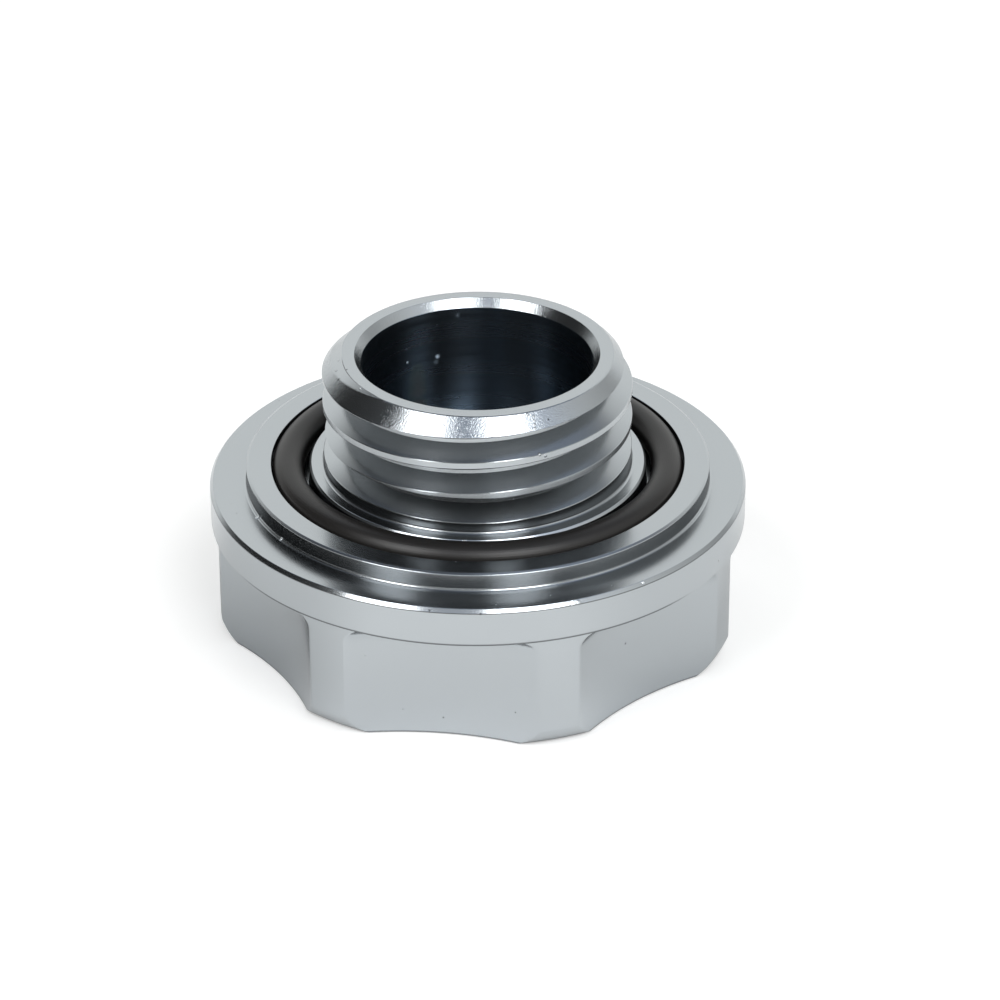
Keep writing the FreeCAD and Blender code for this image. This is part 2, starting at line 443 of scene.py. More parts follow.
def threadBand(tree, size):
    # the spigot's outside, from the plain neck over the thread to the rim, whose rows follow the edges
    # and the roots of four grooves: the tool's level pass and three turns of the helix
    flank = math.radians(cap["flankAngle"])
    slope = math.tan(flank)
    halfRoot = ((cap["threadPitch"] - cap["crestWidth"]) / 2 - cap["threadDepth"] * slope) * mm
    major, rim, top = cap["threadRadius"] * mm, cap["rimRadius"] * mm, cap["rimTop"] * mm
    coneSum = rim + top  # on the 45 degree bevel, distance from the axis plus height
    pitch, depth, foot = size["Pitch"], size["Depth"], size["Thread foot"]
    crestBreak = size["Crest break"]
    neckRadius, neckHeight = cap["threadRadius"] * mm, neckTop * mm
    rimBreak = cap["rimBreak"] * mm
    narrow = 0.3  # share of a narrow crest that a break may take
    diagonal = 0.7  # how far a step along the bevel goes out and up
    barely, nearly = 0.001 * mm, 0.01 * mm
    mesh, column, row = gridOf(tree, 29)  # one row for each of the spots below
    turns = column / float(columns)
    angle = turns * (2 * math.pi)

    # root of the level pass, which backs out of the metal under the helix
    junction = 2 * math.pi - math.radians(cap["dwell"])
    past = (junction - angle).atLeast(0.0)
    shift = cap["backing"] * mm
    wide = major - depth + shift
    across = shift * past.sin()
    backRoot = ((wide * wide - across * across).root() - shift * past.cos()).atMost(major)
    backRoot = pick(angle.under(math.pi / 3), major, backRoot)  # it doesn't come round to the start

    helixRoot = major - depth
    level = [foot, foot + pitch * turns, foot + pitch * (turns + 1.0), foot + pitch * (turns + 2.0)]
    roots = [backRoot, helixRoot, helixRoot, helixRoot]

    # where the level pass and the first turn cut into each other
    ridge = ((level[1] - level[0]) * 0.5 - halfRoot) / slope + (backRoot + helixRoot) * 0.5
    ridge = ridge.atLeast(backRoot).atMost(major)

    lowR, lowZ, highR, highZ = [], [], [], []
    for k in range(4):
        z, root = level[k], roots[k]
        coneLow = (coneSum - z + halfRoot - root * slope) / (1 - slope)
        coneHigh = (coneSum - z - halfRoot + root * slope) / (1 + slope)
        flatHigh = root + (top - z - halfRoot).atLeast(0.0) / slope
        low = (major, ridge)[k] if k < 2 else coneLow.atMost(major)
        high = ridge if k == 0 else coneHigh.atMost(major).atMost(flatHigh)
        lowR.append(low)
        highR.append(high)
        lowZ.append(z - halfRoot - (low - root) * slope)
        highZ.append((z + halfRoot + (high - root) * slope).atMost(top))
    # where the level pass is out of the metal, its rows gather just under the helix
    absent = 1.0 - backRoot.under(major - barely)
    floorZ = pick(absent, neckHeight, highZ[0])
    firstBreak = crestBreak.atMost((lowZ[1] - floorZ).atLeast(0.0) * narrow)
    limit = lowZ[1] - firstBreak

    # the last turn leaves through the rim, and past there its rows gather at the rim's edge
    gone = lowR[3].under(rim)
    rimR = (helixRoot + ((top - level[3]).size() - halfRoot).atLeast(0.0) / slope).atMost(rim)
    rootR = (helixRoot + (level[3] - halfRoot - top).atLeast(0.0) / slope).atMost(rim)
    highR[3] = highR[3].atLeast(rootR)

    tiltIn, tiltUp = math.cos(flank), math.sin(flank)
    spots = [(neckRadius, neckHeight)]
    before = neckHeight
    for k in range(4):
        # the break at each edge is small where the crest or the groove is narrow
        crest = (lowZ[k] - before).atLeast(0.0)
        edge = crestBreak.atMost(crest * narrow).atMost((lowR[k] - roots[k]).atLeast(0.0) * narrow)
        if k == 1:
            edge = firstBreak
        cone = lowR[k].under(major - nearly) if k == 3 else 0.0
        downward = edge * (1.0 - cone * (1.0 - diagonal))
        band = [
            (lowR[k] + edge * cone * diagonal, lowZ[k] - downward),
            (lowR[k] - edge * tiltIn, lowZ[k] + edge * tiltUp),
            (rootR if k == 3 else roots[k], (level[k] - halfRoot).atMost(top)),
            (rootR if k == 3 else roots[k], (level[k] + halfRoot).atMost(top)),
        ]
        crest = ((lowZ[k + 1] if k < 3 else top) - highZ[k]).atLeast(0.0)
        edge = crestBreak.atMost(crest * narrow).atMost((highR[k] - band[2][0]).atLeast(0.0) * narrow)
        cone = highR[k].under(major - nearly) if k > 1 else 0.0
        upward = edge * (1.0 - cone * (1.0 - diagonal))
        band.append((highR[k] - edge * tiltIn, highZ[k] - edge * tiltUp))
        band.append((highR[k] - edge * cone * diagonal, highZ[k] + upward))
        if k == 0:
            band = [(reach, height.atMost(limit)) for reach, height in band]
        if k == 3:
            band = [
                (pick(gone, rim + rimBreak, reach), pick(gone, top - rimBreak, height))
                for reach, height in band
            ]
        spots += band
        before = highZ[k]
        if k == 2:
            # the corner between the straight spigot and its bevel
            highest = (lowZ[3] - crestBreak).atMost(top - rimBreak)
            bend = highest.atMost(coneSum - major).atLeast(band[-1][1])
            spots.append(((coneSum - bend).atMost(major), bend))
    small = pick(gone, rimBreak, ((top - highZ[3]) * narrow).atMost(rimBreak))
    spots.append((rimR + small, top - small))
    spots.append((rimR - rimBreak, top))
    spots.append((rimInside * mm, top))

    reach = choose(tree, row, [spot[0] for spot in spots])
    height = choose(tree, row, [spot[1] for spot in spots]).atMost(top)
    turn = angle + turnStart
    return place(tree, mesh, reach * turn.cos(), reach * turn.sin(), height)


# the turned middle of the cap, from the flange's underside to the plain neck: distance from the axis,
# height, round of the corner and steps of that round
flangeOutline = [
    (cap["flangeRadius"] - cap["undersideEnd"], cap["knobHeight"], 0, 0),
    (cap["flangeRadius"], cap["knobHeight"], 0.13, 3),
    (cap["flangeRadius"], cap["flangeTop"] - cap["flangeBevel"][1], 0.08, 2),
    (cap["flangeRadius"] - cap["flangeBevel"][0], cap["flangeTop"], 0.1, 3),
    (cap["ringRadius"], cap["flangeTop"], 0.3, 4),
    (cap["ringRadius"], cap["ringTop"] - cap["ringBevel"][1], 0.07, 2),
    (cap["ringRadius"] - cap["ringBevel"][0], cap["ringTop"], 0.07, 2),
    (cap["grooveRadius"], cap["ringTop"], 0.08, 2),
    (cap["grooveRadius"], cap["grooveFloor"], 0.15, 3),
    (cap["collarRadius"], cap["grooveFloor"], 0.15, 3),
    (cap["collarRadius"], cap["ringTop"] - cap["collarBevel"][1], 0.05, 1),
    (cap["collarRadius"] - cap["collarBevel"][0], cap["ringTop"], 0.05, 1),
    (cap["threadRadius"], cap["ringTop"], 0.3, 4),
    (cap["threadRadius"], neckTop, 0, 0),
]
# the rim's inside and the blind bore
boreOutline = [
    (rimInside, cap["rimTop"], 0, 0),
    (cap["rimInner"], cap["rimTop"], 0.06, 2),
    (cap["boreRadius"], cap["rimTop"] - cap["boreLead"], 0.06, 2),
    (cap["boreRadius"], cap["boreFloor"], 0.9, 6),
    (cap["boreRadius"] * 0.5, cap["boreFloor"], 0, 0),
    (0, cap["boreFloor"], 0, 0),
]


def makeCapBody(material):
    inputs = {
        "Knob radius": ("NodeSocketFloat", cap["knobRadius"] * mm),
        "Knob round": ("NodeSocketFloat", cap["knobRound"] * mm),
        "Foot width": ("NodeSocketFloat", cap["footWide"] * mm),
        "Knob height": ("NodeSocketFloat", cap["knobHeight"] * mm),
        "Cutter radius": ("NodeSocketFloat", cap["cutterRadius"] * mm),
        "Cutter offset": ("NodeSocketFloat", cap["cutterOffset"] * mm),
        "Cutter corner": ("NodeSocketFloat", cap["cutterCorner"] * mm),
        "Foot break": ("NodeSocketFloat", cap["footBreak"] * mm),
        "Foot flat": ("NodeSocketFloat", cap["footFlat"]),
        "Lobe break": ("NodeSocketFloat", cap["lobeBreak"] * mm),
        "Pitch": ("NodeSocketFloat", cap["threadPitch"] * mm),
        "Depth": ("NodeSocketFloat", cap["threadDepth"] * mm),
        "Thread foot": ("NodeSocketFloat", cap["threadFoot"] * mm),
        "Crest break": ("NodeSocketFloat", cap["crestBreak"] * mm),
        "Sharp angle": ("NodeSocketFloat", math.radians(cap["sharpAngle"])),
        "Weld": ("NodeSocketFloat", cap["weld"] * mm),
        "Material": ("NodeSocketMaterial", material),
    }
    tree, size, out = newTree("capBodyForm", inputs)
    flangeItem, flangeCount = outlineObject("flangeOutline", flangeOutline)
    boreItem, boreCount = outlineObject("boreOutline", boreOutline)
    bands = knobBands(tree, size)
    bands.append(turnBand(tree, flangeItem, flangeCount))
    bands.append(threadBand(tree, size))
    bands.append(turnBand(tree, boreItem, boreCount))
    finishTree(tree, out, bands, size["Material"], size["Weld"], size["Sharp angle"])
    piece = growPiece("capBody", tree, inputs)
    for item in (flangeItem, boreItem):
        bpy.data.objects.remove(item)
    return piece


# sizes of the rubber ring, in millimetres and degrees
ring = {
    "middle": 19.57,  # from the axis to the middle of its section
    "oval": 0.17,  # it is soft: squeezed oval by this much
    "height": 18.05,
    "section": 3.3,
    "lift": 0.12,  # and it rides up by this much at one place
    "liftTurn": -110.0,
    "steps": 48,
    "weld": 0.002,
    "sharpAngle": 60.0,
}


def makeSealRing(material):
    inputs = {
        "Middle": ("NodeSocketFloat", ring["middle"] * mm),
        "Oval": ("NodeSocketFloat", ring["oval"] * mm),
        "Height": ("NodeSocketFloat", ring["height"] * mm),
        "Section": ("NodeSocketFloat", ring["section"] * mm),
        "Lift": ("NodeSocketFloat", ring["lift"] * mm),
        "Sharp angle": ("NodeSocketFloat", math.radians(ring["sharpAngle"])),
        "Weld": ("NodeSocketFloat", ring["weld"] * mm),
        "Material": ("NodeSocketMaterial", material),
    }
    tree, size, out = newTree("sealRingForm", inputs)
    mesh, column, row = gridOf(tree, ring["steps"] + 1)
    turn = column * (2 * math.pi / columns) + turnStart
    around = row * (2 * math.pi / ring["steps"])
    ridesUp = (turn - math.radians(ring["liftTurn"])).cos().atLeast(0.0)
    middle = size["Middle"] + size["Oval"] * (turn * 2.0).cos()
    reach = middle + size["Section"] * 0.5 * around.cos()
    lift = size["Lift"] * ridesUp * ridesUp * ridesUp
    height = size["Height"] + size["Section"] * 0.5 * around.sin() + lift
    band = place(tree, mesh, reach * turn.cos(), reach * turn.sin(), height)
    finishTree(tree, out, [band], size["Material"], size["Weld"], size["Sharp angle"])
    return growPiece("sealRing", tree, inputs)


# looks: small tools for materials, then the effects that they share, each a shader group

def rise(value, low, high):
    # 0 below low, 1 above high, smooth between
    item = addNode(value.tree, "ShaderNodeMapRange", interpolation_type="SMOOTHSTEP")
    feed(value.tree, item.inputs["Value"], value)
    item.inputs["From Min"].default_value = low
    item.inputs["From Max"].default_value = high
    return Num(value.tree, item.outputs[0])


def mixColour(tree, share, first, second):
    item = addNode(tree, "ShaderNodeMix", data_type="RGBA")
    feed(tree, item.inputs[0], share)
    feed(tree, item.inputs[6], first)
    feed(tree, item.inputs[7], second)
    return item.outputs[2]


def newGroup(name, inputs, outputs):
    tree = bpy.data.node_groups.new(name, "ShaderNodeTree")
    for label, (kind, value) in inputs.items():
        socket = tree.interface.new_socket(label, in_out="INPUT", socket_type=kind)
        if value is not None:
            socket.default_value = value
    for label in outputs:
        tree.interface.new_socket(label, in_out="OUTPUT", socket_type="NodeSocketFloat")
    return tree, addNode(tree, "NodeGroupInput"), addNode(tree, "NodeGroupOutput")


def noise(tree, where, scale, detail=2.0, rough=0.5):
    item = addNode(tree, "ShaderNodeTexNoise")
    feed(tree, item.inputs["Vector"], where)
    feed(tree, item.inputs["Scale"], scale)
    item.inputs["Detail"].default_value = detail
    item.inputs["Roughness"].default_value = rough
    return Num(tree, item.outputs[0])


def joined(tree, x, y, z):
    item = addNode(tree, "ShaderNodeCombineXYZ")
    for slot, value in zip(item.inputs, (x, y, z)):
        feed(tree, slot, value)
    return item.outputs[0]


def makeTurningGroup():
    # marks that run round the axis: fine grooves, and slower waves of tone
    inputs = {"Position": ("NodeSocketVector", None), "Pitch": ("NodeSocketFloat", 0.0002)}
    tree, enter, leave = newGroup("turningMarks", inputs, ("Reach", "Height", "Grooves", "Bands"))
    split = addNode(tree, "ShaderNodeSeparateXYZ")
    tree.links.new(enter.outputs["Position"], split.inputs[0])
    x, y, z = (Num(tree, socket) for socket in split.outputs)
    reach = (x * x + y * y).root()
    pitch = Num(tree, enter.outputs["Pitch"])
    fine = noise(tree, joined(tree, reach / pitch, z / pitch, 0.0), 1.0, 3.0, 0.6)
    # the waves are about 1 mm wide, and a slight change round the part breaks their perfect rings
    waves, drift = 900.0, x * 25.0 + y * 13.0
    slow = noise(tree, joined(tree, reach * waves, z * waves, drift), 1.0, 2.0)
    for label, value in (("Reach", reach), ("Height", z), ("Grooves", fine), ("Bands", slow)):
        feed(tree, leave.inputs[label], value)
    return tree


def makeMarkGroup():
    # how near a point lies to the middle of a small round mark, 1 at its middle and 0 past its radius
    inputs = {
        "Position": ("NodeSocketVector", None),
        "Middle": ("NodeSocketVector", None),
        "Radius": ("NodeSocketFloat", 0.0002),
    }
    tree, enter, leave = newGroup("smallMark", inputs, ("Mask",))
    away = addNode(tree, "ShaderNodeVectorMath", operation="DISTANCE")
    tree.links.new(enter.outputs["Position"], away.inputs[0])
    tree.links.new(enter.outputs["Middle"], away.inputs[1])
    share = Num(tree, away.outputs["Value"]) / Num(tree, enter.outputs["Radius"])
    feed(tree, leave.inputs["Mask"], rise(share, 1.0, 0.0))
    return tree


def makeGrainGroup():
    # fine grain and scattered specks that run in no direction
    inputs = {
        "Position": ("NodeSocketVector", None),
        "Grain size": ("NodeSocketFloat", 0.0002),
        "Speck spacing": ("NodeSocketFloat", 0.002),
        "Speck size": ("NodeSocketFloat", 0.1),
    }
    tree, enter, leave = newGroup("grainAndSpecks", inputs, ("Grain", "Specks", "Cloud"))
    where = enter.outputs["Position"]
    grain = noise(tree, where, 1.0 / Num(tree, enter.outputs["Grain size"]), 2.0, 0.6)
    cell = addNode(tree, "ShaderNodeTexVoronoi")
    tree.links.new(where, cell.inputs["Vector"])
    feed(tree, cell.inputs["Scale"], 1.0 / Num(tree, enter.outputs["Speck spacing"]))
    split = addNode(tree, "ShaderNodeSeparateColor")
    tree.links.new(cell.outputs["Color"], split.inputs[0])
    size = Num(tree, split.outputs[0]) * Num(tree, enter.outputs["Speck size"])
    bare, cloudScale = 0.6, 60.0  # share of the cells that have no speck; clouds to the metre
    specks = Num(tree, cell.outputs["Distance"]).under(size)
    specks = specks * (1.0 - Num(tree, split.outputs[1]).under(bare))
    cloud = noise(tree, where, cloudScale, 3.0)
    for label, value in (("Grain", grain), ("Specks", specks), ("Cloud", cloud)):
        feed(tree, leave.inputs[label], value)
    return tree


def useGroup(tree, group, values):
    # places a group with its own values, and gives its outputs by name
    item = addNode(tree, "ShaderNodeGroup", node_tree=group)
    for label, value in values.items():
        feed(tree, item.inputs[label], value)
    return {socket.name: Num(tree, socket) for socket in item.outputs}


def objectPosition(tree):
    return addNode(tree, "ShaderNodeTexCoord").outputs["Object"]


def bump(tree, height, depth, under=None):
    # a bump, laid over another one
    item = addNode(tree, "ShaderNodeBump")
    item.inputs["Distance"].default_value = depth
    feed(tree, item.inputs["Height"], height)
    if under:
        tree.links.new(under, item.inputs["Normal"])
    return item.outputs[0]


# depths, pitches and sizes of textures are in metres, other sizes in millimetres
metal = {
    "colour": (0.55, 0.583, 0.607, 1),
    "inner": 0.3,  # painted shade: share of the colour left where metal is seen in other metal's reflection
    # painted shade in the bore: its deeper, bluer colour and the share of it that is left
    "boreShadeColour": (0.46, 0.56, 0.66, 1),
    "paintedBoreShade": 0.5,
    # painted reflections, paler stripes in the bore: where they are from side to side (-1 to 1), width
    # and gain
    "paintedStreaks": ((-0.53, 0.21, 3.6), (-0.1, 0.22, 1.3), (0.59, 0.15, 1.3)),
    "streakHeights": (28.0, 21.0),  # between these they grow from their share near the rim to all
    "streakNearRim": 0.45,
    "paintedLineTone": 0.35,  # tone of the painted shade lines: at the knob's foot, under the flange, under its bevel
    "lineHeight": 0.3,
    "lineEnds": ((-0.92, -0.76), (0.8, 0.66)),  # where the one under the flange fades, left and right
    "bevelLine": (0.48, 0.44, 0.34, 0.38),  # depths below the flange's top where the third one fades
    "paintedFootShade": 0.14,  # painted shade: how much darker the knob's bevel is, which faces the floor
    "cloudShade": 0.05,
    "speckShade": 0.35,
    "pitShade": 0.7,
    "nickGain": 0.4,
    "dustGain": 2.0,
    "nickDull": 0.45,  # how much less metallic nicks and dust are
    "dustDull": 0.85,
    "roughness": 0.19,
    "bandRough": 0.06,
    "speckRough": 0.2,
    "boreRough": 0.08,
    "nickRough": 0.12,
    "anisotropy": 0.6,
    "groovePitch": 0.00022,
    "grooveDepth": 0.0000010,
    "bandDepth": 0.0000020,
    "grainSize": 0.00016,
    "grainDepth": 0.00000015,
    "bevelGrain": 0.000022,  # the spigot's bevel is the roughest face
    "speckSpacing": 0.0019,
    "speckSize": 0.05,
    "markDepth": 0.00006,
}
rubber = {
    "colour": (0.009, 0.0081, 0.0077, 1),
    "dust": (0.04, 0.036, 0.033, 1),
    "cloudDust": 0.22,
    "speckDust": 0.6,
    "bandDust": 0.1,
    "roughness": 0.35,
    "cloudRough": 0.16,
    "markPitch": 0.0005,
    "grainSize": 0.00018,
    "grainDepth": 0.000012,
    "speckSpacing": 0.0016,
    "speckSize": 0.08,
}
# dark pits: the place of each one's middle, its radius and its strength
pits = [
    ((-3.6, -23.63, 1.94), 0.17, 1.0),
    ((3.67, -25.55, 3.7), 0.15, 1.0),
    ((14.9, -18.86, 7.69), 0.2, 1.0),
    ((7.1, -13.11, 30.44), 0.17, 1.0),
    ((-14.14, -4.42, 30.53), 0.26, 1.0),
    ((-13.33, -3.7, 31.3), 0.2, 1.0),
    ((2.3, -27.66, 16.75), 0.2, 1.0),
    ((0.2, -27.85, 16.6), 0.2, 1.0),
    ((-4.84, -27.36, 16.74), 0.18, 1.0),
]
# pale dust in the bore
dust = [
    ((-4.2, 11.19, 25.06), 0.42, 1.0),
    ((-4.35, 11.13, 24.45), 0.42, 0.3),
    ((-7.34, 9.43, 25.27), 0.24, 0.6),
    ((-7.43, 9.36, 26.85), 0.18, 0.3),
    ((-2.05, 11.77, 29.6), 0.4, 0.3),
]
# bright nicks and burrs
nicks = [
    ((9.6, -26.05, 16.8), 0.5, 1.0),
    ((9.95, -25.95, 16.75), 0.3, 1.0),
    ((16.48, -22.29, 16.86), 0.28, 1.0),
    ((5.6, -13.32, 30.9), 0.17, 1.0),
    ((5.65, -13.6, 30.62), 0.17, 1.0),
    ((5.69, -13.92, 30.31), 0.17, 1.0),
    ((5.75, -14.2, 30.03), 0.17, 1.0),
    ((5.85, -14.5, 29.71), 0.19, 1.0),
    ((5.95, -14.75, 29.45), 0.2, 1.0),
    ((5.0, -13.32, 31.12), 0.2, 1.0),
    ((6.2, -14.68, 27.33), 0.22, 1.0),
    ((6.79, -14.49, 27.08), 0.24, 1.0),
    ((-1.37, -17.3, 18.89), 0.2, 1.0),
    ((-22.58, -9.0, 17.06), 0.3, 1.0),
    ((-19.98, -13.66, 17.12), 0.24, 1.0),
    ((-14.24, -0.61, 30.74), 0.16, 1.0),
    ((-14.39, -2.56, 30.6), 0.2, 1.0),
    ((-11.82, -7.59, 31.15), 0.18, 1.0),
]


def newMaterial(name):
    material = bpy.data.materials.new(name)
    material.use_nodes = True
    tree = material.node_tree
    return material, tree, tree.nodes["Principled BSDF"]


def sumOfMarks(tree, where, marks):
    # one mask for all the small marks of a list
    total = 0.0
    for middle, radius, strength in marks:
        spot = [value * mm for value in middle]
        values = {"Position": where, "Middle": spot, "Radius": radius * mm}
        total = total + useGroup(tree, smallMark, values)["Mask"] * strength
    return total


def makeAluminium():
    material, tree, shader = newMaterial("turnedAluminium")
    shader.inputs["Anisotropic"].default_value = metal["anisotropy"]
    shader.inputs["Anisotropic Rotation"].default_value = 0.25
    around = addNode(tree, "ShaderNodeTangent", direction_type="RADIAL", axis="Z")
    tree.links.new(around.outputs[0], shader.inputs["Tangent"])
    where = objectPosition(tree)
    turned = useGroup(tree, turningMarks, {"Position": where, "Pitch": metal["groovePitch"]})
    reach, height = turned["Reach"], turned["Height"]
    grain = useGroup(tree, grainAndSpecks, {
        "Position": where,
        "Grain size": metal["grainSize"],
        "Speck spacing": metal["speckSpacing"],
        "Speck size": metal["speckSize"],
    })
    dark, bright = sumOfMarks(tree, where, pits).atMost(1.0), sumOfMarks(tree, where, nicks)
    shiny = bright.atMost(1.0)
    # grain frays the edge of the dust
    dusty = (sumOfMarks(tree, where, dust) * (0.3 + grain["Grain"] * 1.2)).atMost(1.0)
    # painted shade: inside the bore, and where metal is seen in other metal's reflection, the colour
    # is made deeper
    bore = reach.under((cap["boreRadius"] + 0.02) * mm)
    bore = bore * (1.0 - height.under((cap["boreFloor"] - 0.1) * mm))
    inner = Num(tree, addNode(tree, "ShaderNodeLightPath").outputs["Is Glossy Ray"])
    split = addNode(tree, "ShaderNodeSeparateXYZ")
    tree.links.new(where, split.inputs[0])
    across = Num(tree, split.outputs[0]) / reach.atLeast(0.001)
    # painted reflections: paler streaks in the bore, placed from side to side
    pale = 0.0
    for spot, width, gain in metal["paintedStreaks"]:
        pale = pale + rise((across - spot).size(), width, 0.0) * gain
    fade = rise(height, *(spot * mm for spot in metal["streakHeights"]))
    pale = pale * (metal["streakNearRim"] + fade * (1.0 - metal["streakNearRim"]))
    paintedBoreShade = metal["paintedBoreShade"] * (1.0 + pale * rise(turned["Bands"], 0.2, 0.5))
    share = pick(bore, paintedBoreShade, 1.0) * (1.0 - inner * (1.0 - metal["inner"]))
    # painted shade: dark lines along three edges, on their sides only
    normal = addNode(tree, "ShaderNodeSeparateXYZ")
    tree.links.new(addNode(tree, "ShaderNodeNewGeometry").outputs["True Normal"], normal.inputs[0])
    facing = Num(tree, normal.outputs[2])
    sideways = rise(facing, -0.97, -0.8)
    line, edge = metal["lineHeight"] * mm, cap["knobHeight"] * mm
    foot = rise(height, line, line * 0.4)
    under = rise(height, edge + line, edge + line * 0.5) * rise(height, edge - line * 0.4, edge)
    under = under * rise(reach, (cap["knobRadius"] + 0.2) * mm, (cap["knobRadius"] + 0.4) * mm)
    leftEnd, rightEnd = metal["lineEnds"]
    under = under * rise(across, *leftEnd) * rise(across, *rightEnd)
    depths = [(cap["flangeTop"] - depth) * mm for depth in metal["bevelLine"]]
    third = rise(height, *depths[:2]) * rise(height, *depths[2:])
    third = third * rise(reach, (cap["flangeRadius"] - 0.4) * mm, (cap["flangeRadius"] - 0.2) * mm)
    share = share * (1.0 - (foot + under + third).atMost(1.0) * sideways * (1.0 - metal["paintedLineTone"]))
    # painted shade on the bevel at the foot, which leans over the floor
    leaning = rise(facing, -0.1, -0.6)
    leaning = leaning * rise(height, (cap["knobRound"] + 0.4) * mm, (cap["knobRound"] - 0.2) * mm)
    share = share * (1.0 - leaning * metal["paintedFootShade"])
    # clouds, specks, pits, nicks and dust
    clouds = 1.0 - metal["cloudShade"] / 2 + grain["Cloud"] * metal["cloudShade"]
    share = share * clouds * (1.0 - grain["Specks"] * metal["speckShade"])
    share = share * (1.0 - dark * metal["pitShade"]) * (1.0 + shiny * metal["nickGain"])
    share = share * (1.0 + dusty * metal["dustGain"])
    feed(tree, shader.inputs["Metallic"], 1.0 - dusty * metal["dustDull"] - shiny * metal["nickDull"])
    tone = addNode(tree, "ShaderNodeVectorMath", operation="SCALE")
    tree.links.new(mixColour(tree, bore, metal["colour"], metal["boreShadeColour"]), tone.inputs[0])
    feed(tree, tone.inputs["Scale"], share)
    tree.links.new(tone.outputs[0], shader.inputs["Base Color"])
    rough = metal["roughness"] + (turned["Bands"] - 0.5) * metal["bandRough"]
    rough = rough + grain["Specks"] * metal["speckRough"] + bore * metal["boreRough"]
    feed(tree, shader.inputs["Roughness"], rough + shiny * metal["nickRough"])
    # the bevel outside the rim, where height and distance from the axis always add up to the same, and
    # the one inside it
    slant = (reach + height - (cap["rimRadius"] + cap["rimTop"]) * mm).size().under(0.05 * mm)
    lead = reach.under(cap["rimInner"] * mm) * (1.0 - bore)
    slant = slant.atLeast(lead * (1.0 - height.under((cap["rimTop"] - cap["boreLead"]) * mm)))
    bumps = bump(tree, turned["Grooves"], metal["grooveDepth"])
    bumps = bump(tree, turned["Bands"], metal["bandDepth"], bumps)
    bumps = bump(tree, grain["Grain"], metal["grainDepth"], bumps)
    bumps = bump(tree, grain["Grain"] * slant, metal["bevelGrain"], bumps)
    bumps = bump(tree, bright * (0.5 + grain["Grain"]), metal["markDepth"], bumps)
    tree.links.new(bumps, shader.inputs["Normal"])
    return material


def makeRubber():
    material, tree, shader = newMaterial("blackRubber")
    where = objectPosition(tree)
    marks = useGroup(tree, turningMarks, {"Position": where, "Pitch": rubber["markPitch"]})
    grain = useGroup(tree, grainAndSpecks, {
        "Position": where,
        "Grain size": rubber["grainSize"],
        "Speck spacing": rubber["speckSpacing"],
        "Speck size": rubber["speckSize"],
    })
    dusty = grain["Cloud"] * rubber["cloudDust"] + grain["Specks"] * rubber["speckDust"]
    dusty = dusty + (marks["Bands"] - 0.5) * rubber["bandDust"]
    colour = mixColour(tree, dusty.atLeast(0.0), rubber["colour"], rubber["dust"])
    tree.links.new(colour, shader.inputs["Base Color"])
    rough = rubber["roughness"] + (grain["Cloud"] - 0.5) * rubber["cloudRough"]
    feed(tree, shader.inputs["Roughness"], rough)
    normal = bump(tree, grain["Grain"], rubber["grainDepth"])
    tree.links.new(normal, shader.inputs["Normal"])
    return material


turningMarks = makeTurningGroup()
grainAndSpecks = makeGrainGroup()
smallMark = makeMarkGroup()
aluminium = makeAluminium()
blackRubber = makeRubber()
print("materials made")
capBody = makeCapBody(aluminium)
print("cap body", len(capBody.data.polygons), "faces")
sealRing = makeSealRing(blackRubber)
print("seal ring", len(sealRing.data.polygons), "faces")
for piece, node, slot in ((capBody, "cap_body", "aluminium"), (sealRing, "o_ring", "rubber")):
    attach(piece, "root")
    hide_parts(node)

# camera at the photograph's viewing angle
view = {
    "elevation": 28.854,
    "roll": 0.283,
    "distance": 0.4478,
    "lens": 154.58,
    "shiftX": 0.0222,
    "shiftY": -0.0258,
    "targetHeight": 0.017,
}


def makeCamera():
    data = bpy.data.cameras.new("camera")
    data.sensor_width = 36
    data.lens = view["lens"]
    data.shift_x, data.shift_y = view["shiftX"], view["shiftY"]
    data.clip_start, data.clip_end = 0.01, 20
    item = bpy.data.objects.new("camera", data)
    scene.collection.objects.link(item)
    tilt, away = math.radians(view["elevation"]), view["distance"]
    item.location = (0, -away * math.cos(tilt), view["targetHeight"] + away * math.sin(tilt))
    turned = Matrix.Rotation(math.pi / 2 - tilt, 4, "X")
    turned = turned @ Matrix.Rotation(-math.radians(view["roll"]), 4, "Z")
    item.rotation_euler = turned.to_euler()
    scene.camera = item


makeCamera()

# the studio: floor, room and two soft boxes. Strengths are radiances, where 1 is white.
studio = {
    "floorSize": 1.5,
    "floorHeight": -0.00002,  # just under the knob's face, so that the two don't lie in one plane
    "floorColour": 0.8,
    "seenColour": 0.75,  # the floor as the camera sees it: a faint shadow on white
    "seenGlow": 0.33,
    "mirrorColour": 0.87,  # the floor as the metal sees it: a deeper, painted shadow
    "mirrorGlow": 0.03,
    "farShade": (0.2, 0.13),  # painted shade: how much darker the mirrored floor is at the left and at the right
    "nearShade": (0.15, 0.1),  # and how much more so near the cap
    "nearReach": (0.055, 0.03),  # where that begins and is whole
    "shadeEnd": (0.025, 0.005),  # there is no shade behind the cap
    "horizon": 0.85,
    "backdrop": 0.86,
    "rightWall": 0.3,
    "rightLift": 0.6,  # how much paler it is higher up
    "rightNear": 0.25,  # and towards the camera
    "rightFar": 0.15,  # and how much darker away from it
    "leftDark": 0.015,
    "front": 0.17,
    "frontLift": 0.34,  # how much paler its upper part is
    "ceiling": 0.18,
    "ceilingSlope": 0.1,  # how much it differs from the middle to each side
    "fill": 1.58,  # the room's gain in plain diffuse light
    "ceilingTint": (0.87, 0.985, 1.19, 1),
    "wallTint": (0.985, 1.0, 0.99, 1),
    "boxDistance": 1.2,
    "boxGlow": 4.6,
    # each soft box: name, azimuth, elevation, width, height, lean
    "boxes": (("softBoxLeft", -138, 47, 0.5, 0.87, 24), ("softBoxRight", -66, 48, 0.56, 0.87, -18)),
}


